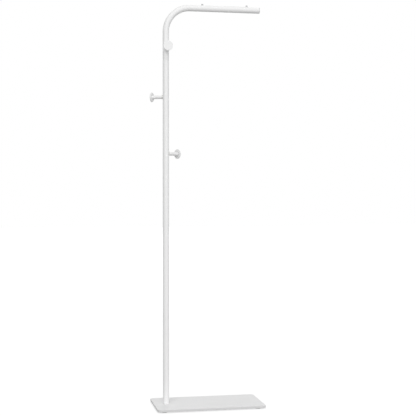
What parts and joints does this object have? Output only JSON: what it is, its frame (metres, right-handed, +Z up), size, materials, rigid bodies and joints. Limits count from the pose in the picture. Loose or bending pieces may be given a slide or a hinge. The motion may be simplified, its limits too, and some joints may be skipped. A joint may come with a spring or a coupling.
{
  "type": "clothes rack",
  "caption": "Single-post clothes rack: flat rectangular base on feet, round upright, arm bent over the base for hangers, disc-ended coat knobs screwed into the upright, stop pins on the arm.",
  "frame": {"origin": "on the floor, in the middle of the rack's bounding box seen from above; the base plate's centre is 6.7 mm along +X from it", "axes": "+Z up; +X from the upright towards the arm's free end; -Y is the front, the side of the top knob"},
  "size_m": [0.4484, 0.228, 1.616],
  "materials": {
    "white_paint": "satin white powder coat",
    "zinc_steel": "zinc-plated steel",
    "cap_plastic": "moulded, satin",
    "pin_plastic": "moulded grey, satin",
    "foot_plastic": "moulded, matt",
    "nylon": "natural white nylon"
  },
  "bodies": {
    "stand": {"base_plate": "white_paint", "front_left_foot_pad": "foot_plastic", "front_left_foot_screw": "zinc_steel", "front_right_foot_pad": "foot_plastic", "front_right_foot_screw": "zinc_steel", "rear_left_foot_pad": "foot_plastic", "rear_left_foot_screw": "zinc_steel", "rear_right_foot_pad": "foot_plastic", "rear_right_foot_screw": "zinc_steel", "upright_tube": "white_paint", "base_plug": "zinc_steel", "base_locating_pin": "zinc_steel", "base_washer": "zinc_steel", "base_bolt": "zinc_steel", "arm_spigot": "zinc_steel", "arm_tube": "white_paint", "arm_end_cap": "cap_plastic", "inner_stop_pin": "pin_plastic", "outer_stop_pin": "pin_plastic", "left_knob_rivet_nut": "zinc_steel", "right_knob_rivet_nut": "zinc_steel"},
    "top_saddle": {"top_knob_saddle": "nylon"},
    "top_knob": {"top_knob_disc": "white_paint", "top_knob_stem": "white_paint", "top_knob_stud": "zinc_steel"},
    "left_saddle": {"left_knob_saddle": "nylon"},
    "left_knob": {"left_knob_disc": "white_paint", "left_knob_stem": "white_paint", "left_knob_stud": "zinc_steel"},
    "right_saddle": {"right_knob_saddle": "nylon"},
    "right_knob": {"right_knob_disc": "white_paint", "right_knob_stem": "white_paint", "right_knob_stud": "zinc_steel"}
  },
  "joints": [
    {"name": "top_knob_draw", "type": "slide", "parent": "stand", "child": "top_saddle", "axis": [0, -1, 0], "range_m": [0, 0.006]},
    {"name": "top_knob_turn", "type": "hinge", "parent": "top_saddle", "child": "top_knob", "pos_m": [-0.16134, 0, 1.437], "axis": [0, -1, 0], "range_deg": [0, 2160]},
    {"name": "left_knob_draw", "type": "slide", "parent": "stand", "child": "left_saddle", "axis": [-0.866, 0.5, 0], "range_m": [0, 0.006]},
    {"name": "left_knob_turn", "type": "hinge", "parent": "left_saddle", "child": "left_knob", "pos_m": [-0.16134, 0, 1.241], "axis": [-0.866, 0.5, 0], "range_deg": [0, 2160]},
    {"name": "right_knob_draw", "type": "slide", "parent": "stand", "child": "right_saddle", "axis": [0.866, 0.5, 0], "range_m": [0, 0.006]},
    {"name": "right_knob_turn", "type": "hinge", "parent": "right_saddle", "child": "right_knob", "pos_m": [-0.16134, 0, 1.015], "axis": [0.866, 0.5, 0], "range_deg": [0, 2160]}
  ],
  "couplings": [
    {"joint": "top_knob_draw", "follows": "top_knob_turn", "m_per_rad": 0.00015915},
    {"joint": "left_knob_draw", "follows": "left_knob_turn", "m_per_rad": 0.00015915},
    {"joint": "right_knob_draw", "follows": "right_knob_turn", "m_per_rad": 0.00015915}
  ]
}
